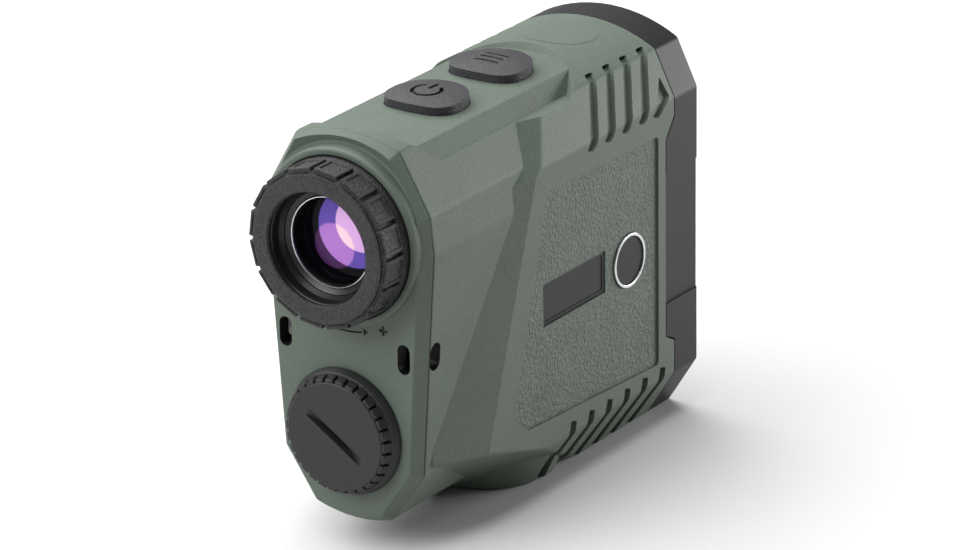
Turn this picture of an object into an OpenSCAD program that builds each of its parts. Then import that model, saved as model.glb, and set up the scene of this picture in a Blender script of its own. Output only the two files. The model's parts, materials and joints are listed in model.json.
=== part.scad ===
// Handheld laser rangefinder: a narrow upright housing with an eyepiece and a screw-cap battery
// bay at the rear, two rubber push buttons on the top deck, a dark bezel with two lenses at the
// front and a tripod socket under the belly.
// X is to the user's right, Y runs forward to the objective, Z is up. The origin is the mouth of
// the tripod socket. Inside the modules Y is measured forward from the rear rim of the housing,
// and from_rear() puts the piece in the frame.

/* [Housing] */
// Rear rim to front face of the bezel
body_len = 89.3; // [86:0.1:92]
// Distance from the rear rim to the tripod socket
socket_y = 43; // [42:0.5:45]
// Half the width over the front bezel
front_half = 20; // [19.5:0.1:21]
// Half the width of the rear rim at its widest
rear_half = 18.9; // [18.5:0.1:19.2]
// Height of the underside at the rear rim
rear_base = 5.8; // [5:0.1:7]
// Height of the side edge above the lower chamfer at the front
front_chin = 10.3; // [9:0.1:11]
// Height of the top corner at the rear rim
rear_top = 79.9; // [79:0.1:81]
// Height of the button deck on the centre line
deck_top = 79.8; // [79.4:0.1:80.2]
// Height of the top corner at the front
front_top = 77.1; // [76.5:0.1:78]
// Wall thickness
wall = 2; // [1.6:0.1:2.2]
// Gap along the seams between the shells
seam = 0.25; // [0.15:0.05:0.4]

/* [Front edge] */
// Where the green shell ends above and below
shell_len = 80.5; // [80:0.1:81]
// Where the shell ends in the middle of each side
shell_len_mid = 77.4; // [77:0.1:78]

/* [Buttons] */
// Half the width of a button
button_half = 7.8; // [7:0.1:8.2]
// Depth of a button, rear edge to front edge
button_len = 14.6; // [14:0.1:15]
// How far a button stands above the deck
button_rise = 2.4; // [2:0.1:2.8]
// Rear edge of the power button
power_y = 19; // [18.5:0.1:20]
// Rear edge of the mode button
mode_y = 40.4; // [40:0.1:40.8]
// How far a button travels
button_travel = 0.8; // [0.5:0.1:0.9]

/* [Eyepiece] */
// Height of the eyepiece and objective axis
eye_z = 61.9; // [61.5:0.1:62.1]
// Radius over the grip blocks of the eyecup
eyecup_r = 15.6; // [15:0.1:15.8]
// Radius of the opening in the eyecup
eyecup_mouth_r = 10.8; // [10:0.1:11]
// How far the eyecup stands behind the rear rim
eyecup_reach = 10.7; // [10:0.1:11.5]
// Number of grip blocks round the eyecup
eyecup_blocks = 16; // [12:1:18]
// Radius of the fixed eyepiece tube
tube_r = 12; // [11.8:0.1:12.2]
// Radius of the eye lens
eye_lens_r = 8.6; // [8:0.1:8.8]

/* [Battery bay] */
// Height of the battery axis
cap_z = 23.2; // [22.8:0.1:23.4]
// Radius over the ribs of the battery cap
cap_r = 11.5; // [11:0.1:11.8]
// Number of ribs round the cap
cap_ribs = 30; // [24:2:36]
// Radius of the threaded spigot
spigot_r = 9.5; // [9.2:0.1:9.7]
// Radial clearance of turning and sliding fits
fit = 0.05; // [0.02:0.01:0.09]
// Battery radius
cell_r = 7.8; // [7.6:0.1:7.9]
// Battery length
cell_len = 27; // [26.5:0.1:27]

/* [Lenses] */
// Radius of the objective lens
objective_r = 12; // [11:0.1:12.2]
// Radius of the emitter lens
emitter_r = 8; // [7:0.1:8.5]
// Height of the emitter axis
emitter_z = 31; // [30.5:0.1:31.5]

/* [Tripod socket] */
// Radius of the hole before threading, for a 1/4 inch camera screw
socket_r = 2.55; // [2.5:0.01:2.6]
// Depth of the brass insert
insert_len = 8; // [7:0.5:8.5]

/* [Hidden] */
round_fn = 96;

green = "#5f6a5f";
dark = "#3a3b3c";
black = "#1c1d1e";

// half outlines of the cross-sections, from the lower corner to the upper corner
rear_half_pts = [[8.3, rear_base], [15.7, 16.1], [rear_half, 61.1], [18.1, 68.5], [11.5, rear_top]];
front_half_pts = [[13.5, 0], [front_half, front_chin], [front_half, 67.8], [15.5, front_top]];
step_z = 75.6;
deck_edge_z = deck_top - 0.8;
deck_half_pts = [
    [8.3, rear_base], [15.7, 16.1], [rear_half, 61.1], [18.1, 68.5],
    [14.1, step_z], [13.6, step_z + 0.1], [11.3, deck_edge_z]
];
rear_rise = 2;
rear_dip = 1.35;
deck_rise = 0.8;
front_rise = 3.9;
rim_len = 2.6;
cover_face = 2.6;
collar_face = 3.5;
facet_slope = 0.3386;
facet_y = 9.64;
hood_r = 23;
board_z = 71;
hood_y = 59.6 - hood_r;
slot_z = 40.2;
slot_x = 13.3;
panel_sink = 0.4;
plate_sink = 1.4;
eyecup_base_y = -collar_face - 0.1;
cap_face_y = -6.55;
chassis_z = 45.6;
chassis_posts = [[-9.5, 20], [9.5, 20], [-9.5, 72], [9.5, 72]];
objective_z = eye_z - 2;
cap_flange_y = -cover_face - 0.15;
bay_step_y = 5.4;
coin_r = 14;
coin_slot_depth = 2;
coin_slot_w = 1.7;
coin_slot_turn = 33;
screw_hole_r = 0.85;
tube_bore_r = 10.2;

// points across a crown, from the right corner to the left one
function crown(half, z, rise, n = 12) =
    let (r = (half * half + rise * rise) / (2 * rise))
    [for (i = [1:n - 1]) let (x = half - 2 * half * i / n) [x, z + sqrt(r * r - x * x) - (r - rise)]];

// a closed outline from its right half, a crown on top and a dip below
function section(pts, rise, dip = 0) = concat(
    pts,
    crown(pts[len(pts) - 1][0], pts[len(pts) - 1][1], rise),
    [for (i = [len(pts) - 1:-1:0]) [-pts[i][0], pts[i][1]]],
    dip == 0 ? [] : [for (p = crown(pts[0][0], 0, dip)) [-p[0], pts[0][1] - p[1]]]
);

// half outline moved inward by the wall
function inner(pts, t) = [
    for (i = [0:len(pts) - 1])
        let (low = i == 0, high = i == len(pts) - 1)
        [pts[i][0] - (low || high ? t * 0.55 : t), pts[i][1] + (low ? t : high ? -t * 0.9 : 0)]
];

module from_rear() translate([0, -socket_y, 0]) children();

// extrudes an outline drawn in X and Z from one station to another
module along_y(y0, y1) translate([0, y1, 0]) rotate([90, 0, 0]) linear_extrude(y1 - y0) children();

// a round bar along Y
module rod_y(r, y0, y1) translate([0, y0, 0])
    rotate([-90, 0, 0]) cylinder(r = r, h = y1 - y0, $fn = round_fn);

// a ring along Y
module ring_y(r_out, r_in, y0, y1) difference() {
    rod_y(r_out, y0, y1);
    rod_y(r_in, y0 - 1, y1 + 1);
}

// a turned piece round the Y axis, from its outline in radius and station
module turned_y() rotate([-90, 0, 0]) rotate_extrude($fn = round_fn) children();

// removes all that lies beyond a plane through p with the normal n
module beyond(p, n) translate(p)
    rotate([0, acos(n[2] / norm(n)), atan2(n[1], n[0])])
        translate([-75, -75, 0]) cube([150, 150, 60]);

module both_sides() {
    children();
    mirror([1, 0, 0]) children();
}

// ---- housing ----

// the wide front part: planes lead it out of the narrow rear part
module front_block() difference() {
    along_y(2, shell_len) polygon(section(front_half_pts, front_rise));
    both_sides() {
        // side facet, leaning back towards the belly
        multmatrix([[1, 0, 0, 0], [0, 1, facet_slope, facet_y], [0, 0, 1, 0]])
            translate([0, 0, -10]) linear_extrude(120)
                polygon([[front_half, 0], [front_half - 19, -68], [60, -68], [60, 0]]);
        // facet across the upper chamfer
        beyond([19.8, 34, 68.1], [35.7, -15.5, 28.3]);
        // belly, falling from the rear rim to the socket boss
        beyond([front_half, 16, 16], [139.6, -64.4, -210.6]);
    }
    // deck cut back to the curved rear edge of the hood
    translate([-30, -20, step_z]) cube([60, hood_y + 20, 20]);
    translate([0, hood_y, step_z]) cylinder(r = hood_r, h = 20, $fn = round_fn);
}

module rear_block() {
    along_y(0, rim_len) polygon(section(rear_half_pts, rear_rise, rear_dip));
    along_y(rim_len, 62) polygon(section(deck_half_pts, deck_rise, rear_dip));
}

// rounded boss that carries the tripod socket
module socket_boss() translate([0, socket_y, 0]) cylinder(h = 11, r1 = 14, r2 = 18.4, $fn = round_fn);

// the green shell reaches further forward above and below than on the sides
module shell_zone(grow = 0) translate([-30, 0, 0]) rotate([90, 0, 90]) linear_extrude(60) polygon([
    [-20, -5], [shell_len + grow, -5], [shell_len + grow, 17.1 + grow], [shell_len_mid + grow, 18.8 + grow],
    [shell_len_mid + grow, 60 - grow], [shell_len + grow, 64.2 - grow], [shell_len + grow, 95], [-20, 95]
]);

// slots across the upper shoulder, leaning back as they fall
shoulder_slots = 4;
slot_pitch = 6;
module shoulder_slot_outline()
    polygon([[57.8, 77.9], [60.5, 77.9], [54, 68.2], [52.6, 66], [51.4, 65.6], [49.7, 66.2], [51.2, 68.4]]);
module shoulder_tip_outline() polygon([[78.4, 72], [79.2, 68.4], [74.6, 65.4], [73, 66]]);

// notches across the lower chamfer
chin_notches = 6;
notch_pitch = 6.4;
module chin_notch_outline() polygon([[43.4, 13], [45.2, 12.4], [42.2, -2], [39, -2]]);

// cuts an outline drawn in Y and Z into both flanks, leaving the middle of the belly alone
module into_flanks() both_sides() translate([8, 0, 0]) rotate([90, 0, 90]) linear_extrude(20) children();

// keeps a cut to a shallow skin of the front block
module skin_only(depth) intersection() {
    children();
    difference() {
        along_y(20, shell_len - 0.8)
            polygon(section([for (p = front_half_pts) p * 1.2 - [0, 6]], front_rise));
        along_y(19, 90) polygon(section(inner(front_half_pts, depth), front_rise));
    }
}

module grip_cuts() skin_only(0.9) {
    into_flanks() for (i = [0:shoulder_slots - 1]) translate([i * slot_pitch, 0]) shoulder_slot_outline();
    into_flanks() shoulder_tip_outline();
    into_flanks() for (i = [0:chin_notches - 1]) translate([i * notch_pitch, 0]) chin_notch_outline();
}

// outline of the textured side panel, in Y and Z
panel_pts = [[36, 62.4], [74.8, 61.6], [74.8, 13.8], [28.2, 16.4], [23.6, 20.4]];
plate_y = 34.8;
plate_z = 35.2;
plate_len = 21.6;
plate_h = 8.7;
badge_y = 64.7;
badge_z = 39.1;
badge_r = 5.6;

module panel_sinks() both_sides() {
    translate([front_half - panel_sink, 0, 0]) rotate([90, 0, 90]) linear_extrude(3) polygon(panel_pts);
    translate([front_half - plate_sink, plate_y, plate_z]) cube([3, plate_len, plate_h]);
    translate([front_half - plate_sink, badge_y, badge_z])
        rotate([0, 90, 0]) cylinder(r = badge_r, h = 3, $fn = round_fn);
}

// pads on the inner walls that the chassis is screwed to
module chassis_pads() difference() {
    both_sides() for (p = chassis_posts)
        translate([7.5, p[1] - 3, 39.5]) cube([14, 6, chassis_z - 39.5]);
    for (p = chassis_posts) translate([p[0], p[1], 38]) cylinder(r = screw_hole_r, h = 9, $fn = 48);
}

// strap slot through the side wall, level with the one in the rear cover
module side_strap_slot() both_sides() translate([10, 2.3, slot_z]) rotate([0, 90, 0]) linear_extrude(12) {
    square([3.6, 2.7], center = true);
    for (s = [-1, 1]) translate([s * 1.8, 0]) circle(r = 1.35, $fn = 48);
}

module button_outline(grow = 0) {
    corner = 2;
    corner_y = 3.7;
    side_len = button_len - button_half - corner_y;
    intersection() {
        union() {
            translate([0, button_len - button_half]) circle(r = button_half + grow, $fn = round_fn);
            translate([-button_half - grow, corner_y]) square([2 * (button_half + grow), side_len]);
            translate([corner - button_half, -grow]) square([2 * (button_half - corner), 6]);
            for (s = [-1, 1]) translate([s * (button_half - corner), corner_y])
                circle(r = corner + grow, $fn = 48);
        }
        translate([0, 16]) circle(r = 16 + grow, $fn = 2 * round_fn);
    }
}

module main_housing() color(green) from_rear() difference() {
    union() {
        rear_block();
        front_block();
        socket_boss();
    }
    // hollow behind the hood and in front of it
    difference() {
        union() {
            along_y(-1, 58) polygon(section(inner(deck_half_pts, wall), deck_rise));
            along_y(57.5, 95) polygon(section(inner(front_half_pts, wall), front_rise));
        }
        chassis_pads();
    }
    // front edge
    difference() {
        translate([-30, 70, -5]) cube([60, 30, 100]);
        shell_zone();
    }
    grip_cuts();
    panel_sinks();
    side_strap_slot();
    for (y = [power_y, mode_y]) translate([0, y, 70]) linear_extrude(15) button_outline(0.2);
    translate([0, socket_y, -1]) cylinder(r = 4.5, h = insert_len + 1, $fn = round_fn);
}

// ---- rear cover ----

boss_x = 6;
boss_z = 40.4;
boss_end = 7.9;
module cover_bosses() for (s = [-1, 1]) translate([s * boss_x, 0, boss_z]) rod_y(2, -2, boss_end);

module rear_cover() color(green) from_rear() difference() {
    mid_z = 42;
    union() {
        // bevelled plate that narrows towards the user
        translate([0, -seam, mid_z]) rotate([90, 0, 0])
            linear_extrude(cover_face - seam, scale = [0.9, 0.955])
                translate([0, -mid_z]) polygon(section(rear_half_pts, rear_rise, rear_dip));
        // collar round the eyepiece
        translate([0, 0, eye_z]) rod_y(17.2, -collar_face, -1);
        // frame that locates the cover inside the housing
        along_y(-0.5, 1) polygon(section(inner(deck_half_pts, wall + 0.2), deck_rise));
        cover_bosses();
    }
    difference() {
        along_y(-1.6, 2) polygon(section(inner(deck_half_pts, wall + 2), deck_rise));
        cover_bosses();
    }
    translate([0, 0, eye_z]) rod_y(tube_r + 0.1, -10, 5);
    translate([0, 0, cap_z]) rod_y(spigot_r + fit, -10, 5);
    for (s = [-1, 1]) translate([s * boss_x, 0, boss_z]) rod_y(screw_hole_r, 1, 10);
    for (s = [-1, 1]) translate([s * slot_x, 2, slot_z]) rotate([90, 0, 0]) linear_extrude(8) {
        square([2.7, 3.5], center = true);
        for (t = [-1, 1]) translate([0, t * 1.75]) circle(r = 1.35, $fn = 48);
    }
}

// ---- front bezel ----

module front_bezel() color(dark) from_rear() difference() {
    along_y(shell_len_mid, body_len) polygon(section(front_half_pts, front_rise));
    shell_zone(seam);
    // shallow finger hollows on the sides
    both_sides() translate([front_half - 0.45, 60, 25.6]) cube([5, 40, 27.3]);
    // room for the barrels behind the face
    along_y(70, 84) polygon(section(inner(front_half_pts, wall + 1), front_rise));
    // sunk front face
    along_y(body_len - 1.2, body_len + 1) polygon(section(inner(front_half_pts, 2.2), front_rise));
    translate([0, 0, objective_z]) rod_y(objective_r + 1.6, 80, 95);
    translate([0, 0, emitter_z]) rod_y(emitter_r + 1.6, 80, 95);
}

// ---- plates and badges ----

module nameplate() translate([front_half - plate_sink, plate_y + 0.15, plate_z + 0.15])
    cube([plate_sink - 0.55, plate_len - 0.3, plate_h - 0.3]);

module nameplate_right() color(black) from_rear() nameplate();

module nameplate_left() color(black) from_rear() mirror([1, 0, 0]) nameplate();

module badge_part(r_out, r_in, x0, x1) translate([0, badge_y, badge_z]) rotate([0, 90, 0]) difference() {
    translate([0, 0, x0]) cylinder(r = r_out, h = x1 - x0, $fn = round_fn);
    if (r_in > 0) translate([0, 0, x0 - 1]) cylinder(r = r_in, h = 5, $fn = round_fn);
}

module badge_rim() badge_part(badge_r - 0.1, badge_r - 0.8, front_half - plate_sink, front_half - 0.1);

module badge_disc() badge_part(badge_r - 0.9, 0, front_half - plate_sink, front_half - 0.4);

module badge_rim_right() color("silver") from_rear() badge_rim();

module badge_rim_left() color("silver") from_rear() mirror([1, 0, 0]) badge_rim();

module badge_disc_right() color(black) from_rear() badge_disc();

module badge_disc_left() color(black) from_rear() mirror([1, 0, 0]) badge_disc();

// ---- buttons ----

button_foot = board_z + 2.8 + button_travel;
button_shelf = button_foot + 1.6;
button_top = deck_top + button_rise;
crown_r = 50;
// rubber cap with a crowned top, a flange under the deck and a plunger
module button(y) translate([0, y, 0]) {
    intersection() {
        translate([0, 0, button_shelf]) linear_extrude(button_top - button_shelf) button_outline();
        translate([0, button_len / 2, button_top - crown_r]) sphere(r = crown_r, $fn = 2 * round_fn);
    }
    translate([0, 0, button_shelf]) linear_extrude(0.8) button_outline(0.8);
    translate([0, 7, button_foot]) cylinder(r = 2, h = 2, $fn = 48);
}

module power_button() color(black) from_rear() button(power_y);

module mode_button() color(black) from_rear() button(mode_y);

// silicone sheet that seals the deck from inside
module button_gasket() color("#303234") from_rear() difference() {
    translate([-9.4, power_y - 4, button_foot - 0.2]) cube([18.8, mode_y + 24 - power_y - 6, 0.8]);
    for (y = [power_y, mode_y]) translate([0, y + 7, 70]) cylinder(r = 2.3, h = 10, $fn = 48);
}

module switch_board() color("#2d6b45") from_rear()
    translate([-8, power_y - 2, board_z]) cube([16, mode_y + 16 - power_y, 1]);

module button_switches() color("silver") from_rear()
    for (y = [power_y, mode_y]) translate([0, y + 7, board_z + 1]) {
        translate([-2.6, -2.6, 0]) cube([5.2, 5.2, 1.4]);
        cylinder(r = 1.2, h = 1.7, $fn = 48);
    }

// ---- eyepiece ----

// rubber ring that turns to focus, with blocks round its edge
module eyecup() color(black) from_rear() translate([0, 0, eye_z]) difference() {
    union() {
        rod_y(eyecup_r - 0.6, -eyecup_reach, eyecup_base_y);
        for (i = [0:eyecup_blocks - 1]) rotate([0, i * 360 / eyecup_blocks, 0])
            translate([eyecup_r - 3, -eyecup_reach + 0.8, -1.9]) cube([3, 5.2, 3.8]);
    }
    rod_y(eyecup_mouth_r, -20, 5);
    rod_y(tube_r + fit, -eyecup_reach + 1, 5);
}

module eyepiece_tube() color(dark) from_rear() translate([0, 0, eye_z]) difference() {
    union() {
        rod_y(tube_r, -eyecup_reach + 1.2, 3);
        rod_y(tube_r + 1.2, 0, 3);
        rod_y(tube_r - 0.6, 3, 16);
    }
    rod_y(tube_bore_r, -20, 20);
}

cell_y0 = -6.4;
cell_y1 = 9;
module lens_cell() color("#202224") from_rear() translate([0, 0, eye_z]) difference() {
    rod_y(tube_bore_r - fit, cell_y0, cell_y1);
    rod_y(eye_lens_r - 0.6, -20, 20);
    rod_y(eye_lens_r, -20, -2);
    rod_y(eye_lens_r, 5, 20);
    // groove for the seal
    ring_y(12, 9.5, 1, 2);
}

// a thin lens with two curved faces, round the Y axis
module lens(r, y0, y1, bulge) turned_y() intersection() {
    translate([0, y0 - bulge]) square([r, y1 - y0 + 2 * bulge]);
    rb = (r * r + bulge * bulge) / (2 * bulge);
    translate([0, y0 - bulge + rb]) circle(r = rb, $fn = 4 * round_fn);
    translate([0, y1 + bulge - rb]) circle(r = rb, $fn = 4 * round_fn);
}

module eye_lens() color("#6a4f8f") from_rear() translate([0, 0, eye_z])
    lens(eye_lens_r - 0.02, -4.4, -2.4, 0.8);

module field_lens() color("#6a4f8f") from_rear() translate([0, 0, eye_z])
    lens(eye_lens_r - 0.02, 5.6, 7.6, 0.6);

module tube_oring() color(black) from_rear() translate([0, 0, eye_z])
    ring_y(tube_bore_r - fit, 9.5, 1.05, 1.95);

// ---- battery bay ----

// screw cap with a coin slot, ribs and a smooth spigot at the thread's major radius
module battery_cap() color(dark) from_rear() translate([0, 0, cap_z]) difference() {
    union() {
        rod_y(cap_r - 0.5, cap_face_y, cap_flange_y);
        for (i = [0:cap_ribs - 1]) rotate([0, i * 360 / cap_ribs, 0])
            translate([cap_r - 2, cap_face_y + 0.3, -0.75]) cube([2, 2, 1.5]);
        rod_y(12.6, cap_flange_y - 0.9, cap_flange_y);
        rod_y(spigot_r, cap_flange_y, bay_step_y - 0.4);
    }
    // coin slot, deepest in the middle
    rotate([0, coin_slot_turn, 0]) translate([0, cap_face_y + coin_slot_depth - coin_r, 0])
        cylinder(r = coin_r, h = coin_slot_w, center = true, $fn = 2 * round_fn);
    // pocket for the contact
    rod_y(7.2, 1.5, 10);
    // groove for the seal
    ring_y(12, spigot_r - 0.9, -1.6, -0.4);
}

module cap_oring() color(black) from_rear() translate([0, 0, cap_z])
    ring_y(spigot_r, spigot_r - 0.88, -1.55, -0.45);

module cap_contact() color("silver") from_rear() translate([0, 0, cap_z]) {
    rod_y(6.8, 3.6, 4.1);
    rod_y(2.2, 4.1, bay_step_y + 0.1);
}

module battery_tube() color("#2a2c2e") from_rear() translate([0, 0, cap_z]) difference() {
    rod_y(11, 1.2, bay_step_y + cell_len + 4);
    rod_y(spigot_r + fit, -5, bay_step_y);
    rod_y(cell_r + 0.2, 0, bay_step_y + cell_len + 2.8);
}

module battery() color("#8a8f94") from_rear() translate([0, 0, cap_z]) {
    rod_y(cell_r, bay_step_y + 0.2, bay_step_y + cell_len - 1);
    rod_y(3, bay_step_y + cell_len - 1, bay_step_y + cell_len + 0.2);
}

// conical contact spring at the closed end, drawn as stacked rings
module battery_spring() color("silver") from_rear() translate([0, 0, cap_z]) {
    start = bay_step_y + cell_len + 0.3;
    wire = 0.8;
    for (i = [0:2]) ring_y(3 + i * 1.4, 2 + i * 1.4, start + i * wire, start + (i + 1) * wire);
}

// ---- objective and emitter ----

lens_face_y = 85.5;
module barrel(z, r, y0) translate([0, 0, z]) difference() {
    rod_y(r + 1.4, y0, lens_face_y + 1.5);
    rod_y(r - 0.8, y0 - 1, 100);
    rod_y(r, lens_face_y - 4, 100);
}

module objective_barrel() color(black) from_rear() barrel(objective_z, objective_r, 56);

module objective_lens() color("#5d7f93") from_rear() translate([0, 0, objective_z])
    lens(objective_r - 0.05, lens_face_y - 3, lens_face_y - 1, 0.9);

module objective_ring() color(dark) from_rear() translate([0, 0, objective_z])
    ring_y(objective_r - 0.02, objective_r - 1, lens_face_y - 0.05, lens_face_y + 1.2);

module emitter_barrel() color(black) from_rear() barrel(emitter_z, emitter_r, 62);

module emitter_lens() color("#5d7f93") from_rear() translate([0, 0, emitter_z])
    lens(emitter_r - 0.05, lens_face_y - 3, lens_face_y - 1, 0.7);

module emitter_ring() color(dark) from_rear() translate([0, 0, emitter_z])
    ring_y(emitter_r - 0.02, emitter_r - 0.8, lens_face_y - 0.05, lens_face_y + 1.2);

module laser_diode() color("goldenrod") from_rear() translate([0, 0, emitter_z]) {
    rod_y(2.8, 60, 63.6);
    rod_y(4.5, 58.4, 60);
}

module prism_block() color("#9fb6c0") from_rear() translate([-8, 24, 52]) cube([16, 22, 18]);

module display_panel() color("#101214") from_rear()
    translate([-7.5, 18, eye_z - 7]) cube([15, 1.4, 14]);

module detector_board() color("#2d6b45") from_rear() translate([-8, 48, 48.4]) cube([16, 5, 12]);

// plate that carries the optics, with an upright yoke for the barrel and a tab for the rear cover
module optical_chassis() color("#4b4e52") from_rear() difference() {
    union() {
        translate([-12, 8, chassis_z]) cube([24, 70, 1.8]);
        translate([-15, 58, chassis_z]) cube([30, 4, 20]);
        translate([-9, 8, boss_z - 3]) cube([18, 1.6, chassis_z - boss_z + 4]);
    }
    translate([0, 0, objective_z]) rod_y(objective_r + 1.5, 40, 90);
    for (p = chassis_posts) translate([p[0], p[1], chassis_z - 1])
        cylinder(r = screw_hole_r, h = 4, $fn = 48);
    for (s = [-1, 1]) translate([s * boss_x, 0, boss_z]) rod_y(screw_hole_r, 7, 12);
}

module main_board() color("#2d6b45") from_rear() translate([-13.6, 36, 17.5]) cube([1.2, 42, 20]);

module board_chips() color("#17181a") from_rear() {
    translate([-12.4, 42, 20]) cube([1, 9, 9]);
    translate([-12.4, 56, 32]) cube([1.4, 7, 5]);
    translate([-12.4, 66, 19]) cube([2.4, 8, 6]);
}

module tripod_insert() color("#b08d45") from_rear() translate([0, socket_y, 0]) difference() {
    cylinder(r = 4.5, h = insert_len, $fn = round_fn);
    translate([0, 0, -1]) cylinder(r = socket_r, h = insert_len + 2, $fn = round_fn);
}

// a small pan-head screw, its shank pointing down from the origin
module screw(len) {
    translate([0, 0, -len]) cylinder(r = 0.8, h = len, $fn = 24);
    cylinder(r = 1.5, h = 1, $fn = 24);
}

module chassis_screws() color("silver") from_rear()
    for (p = chassis_posts) translate([p[0], p[1], chassis_z + 1.8]) screw(6);

module cover_screws() color("silver") from_rear()
    for (s = [-1, 1]) translate([s * boss_x, 9.6, boss_z]) rotate([-90, 0, 0]) screw(6);

main_housing();
rear_cover();
front_bezel();
nameplate_right();
nameplate_left();
badge_rim_right();
badge_rim_left();
badge_disc_right();
badge_disc_left();
power_button();
mode_button();
button_gasket();
switch_board();
button_switches();
eyecup();
eyepiece_tube();
lens_cell();
eye_lens();
field_lens();
tube_oring();
battery_cap();
cap_oring();
cap_contact();
battery_tube();
battery();
battery_spring();
objective_barrel();
objective_lens();
objective_ring();
emitter_barrel();
emitter_lens();
emitter_ring();
laser_diode();
prism_block();
display_panel();
detector_board();
optical_chassis();
main_board();
board_chips();
tripod_insert();
chassis_screws();
cover_screws();
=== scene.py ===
import bpy, json, math
from mathutils import Matrix, Vector

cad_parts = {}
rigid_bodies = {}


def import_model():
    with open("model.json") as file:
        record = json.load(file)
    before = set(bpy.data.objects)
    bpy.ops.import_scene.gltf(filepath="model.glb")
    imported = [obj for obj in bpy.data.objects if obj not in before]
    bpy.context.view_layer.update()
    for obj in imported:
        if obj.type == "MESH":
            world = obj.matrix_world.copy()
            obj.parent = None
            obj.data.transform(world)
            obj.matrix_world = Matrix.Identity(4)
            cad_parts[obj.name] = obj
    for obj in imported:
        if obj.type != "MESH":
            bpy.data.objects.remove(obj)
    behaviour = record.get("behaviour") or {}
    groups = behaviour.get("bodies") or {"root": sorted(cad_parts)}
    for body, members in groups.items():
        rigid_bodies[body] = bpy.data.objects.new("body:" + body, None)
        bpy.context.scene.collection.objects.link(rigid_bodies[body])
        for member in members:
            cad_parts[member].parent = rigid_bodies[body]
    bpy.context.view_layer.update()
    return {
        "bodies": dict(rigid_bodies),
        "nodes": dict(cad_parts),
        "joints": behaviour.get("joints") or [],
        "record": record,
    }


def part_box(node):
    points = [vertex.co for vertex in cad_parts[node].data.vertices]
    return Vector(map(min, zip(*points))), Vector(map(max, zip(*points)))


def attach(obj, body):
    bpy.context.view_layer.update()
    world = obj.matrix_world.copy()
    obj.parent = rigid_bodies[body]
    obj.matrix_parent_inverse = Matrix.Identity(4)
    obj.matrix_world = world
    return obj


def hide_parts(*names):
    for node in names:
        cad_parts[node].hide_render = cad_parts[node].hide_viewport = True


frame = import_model()
print("frame loaded")

mm = 0.001
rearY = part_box("main_housing")[0][1]  # lengths run forward from the rear rim of the housing
# heights of the axes that several pieces share
axisZ = {"eyepiece": 61.9, "cap": 23.2, "objective": 59.9, "emitter": 31}


def at(x, y, z):
    return Vector((x * mm, rearY + y * mm, z * mm))


def selectOnly(piece):
    bpy.ops.object.select_all(action="DESELECT")
    piece.select_set(True)
    bpy.context.view_layer.objects.active = piece


def editAll(piece, *steps):
    # runs edit-mode operators on the whole mesh
    selectOnly(piece)
    bpy.ops.object.mode_set(mode="EDIT")
    bpy.ops.mesh.select_all(action="SELECT")
    for operator, options in steps:
        operator(**options)
    bpy.ops.object.mode_set(mode="OBJECT")


def settle(piece):
    # place, turn and scale go into the mesh, so the object stays at the origin
    selectOnly(piece)
    bpy.ops.object.transform_apply(location=True, rotation=True, scale=True)
    return piece


def block(name, low, high):
    bpy.ops.mesh.primitive_cube_add(size=1, location=(low + high) / 2, scale=high - low)
    bpy.context.object.name = name
    return settle(bpy.context.object)


def rod(name, radius, start, end, sides=96, endRadius=None):
    axis = end - start
    bpy.ops.mesh.primitive_cone_add(
        vertices=sides, radius1=radius * mm, radius2=(endRadius or radius) * mm, depth=axis.length,
        location=(start + end) / 2, rotation=axis.to_track_quat("Z", "Y").to_euler())
    bpy.context.object.name = name
    return settle(bpy.context.object)


def trim(piece, point, normal):
    # cuts off what lies beyond a plane and closes the cut
    editAll(piece, (bpy.ops.mesh.bisect, dict(
        plane_co=point, plane_no=Vector(normal).normalized(), use_fill=True, clear_outer=True,
        threshold=0.01 * mm)))


def trimBothSides(piece, point, normal):
    for side in (1, -1):
        trim(piece, Vector((side * point[0], point[1], point[2])),
             Vector((side * normal[0], normal[1], normal[2])))


def applyModifier(piece, kind, **options):
    selectOnly(piece)
    step = piece.modifiers.new("step", kind)
    for option, value in options.items():
        setattr(step, option, value)
    bpy.ops.object.modifier_apply(modifier=step.name)
    return piece


def combine(piece, tool, operation="DIFFERENCE"):
    applyModifier(piece, "BOOLEAN", operation=operation, solver="EXACT", object=tool)
    bpy.data.objects.remove(tool)
    return piece


def soften(piece, width, segments=3, angle=20):
    # rounds the moulded edges
    return applyModifier(piece, "BEVEL", width=width * mm, segments=segments, limit_method="ANGLE",
                         angle_limit=math.radians(angle), miter_outer="MITER_ARC", use_clamp_overlap=True)


def shade(piece, angle=32):
    selectOnly(piece)
    bpy.ops.object.shade_smooth_by_angle(angle=math.radians(angle))
    applyModifier(piece, "WEIGHTED_NORMAL", keep_sharp=True, weight=80)
    return piece


def startOutline(name, points):
    # one point, then the outline pulled out of it edge by edge; the piece stays in edit mode
    bpy.ops.mesh.primitive_plane_add(size=1 * mm, location=points[0])
    piece = bpy.context.object
    piece.name = name
    settle(piece)
    bpy.ops.object.mode_set(mode="EDIT")
    bpy.ops.mesh.select_mode(type="VERT")
    bpy.ops.mesh.select_all(action="SELECT")
    bpy.ops.mesh.merge(type="CENTER")
    for start, end in zip(points, points[1:]):
        bpy.ops.mesh.extrude_region_move(TRANSFORM_OT_translate={"value": end - start})
    bpy.ops.mesh.select_all(action="SELECT")
    return piece


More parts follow.
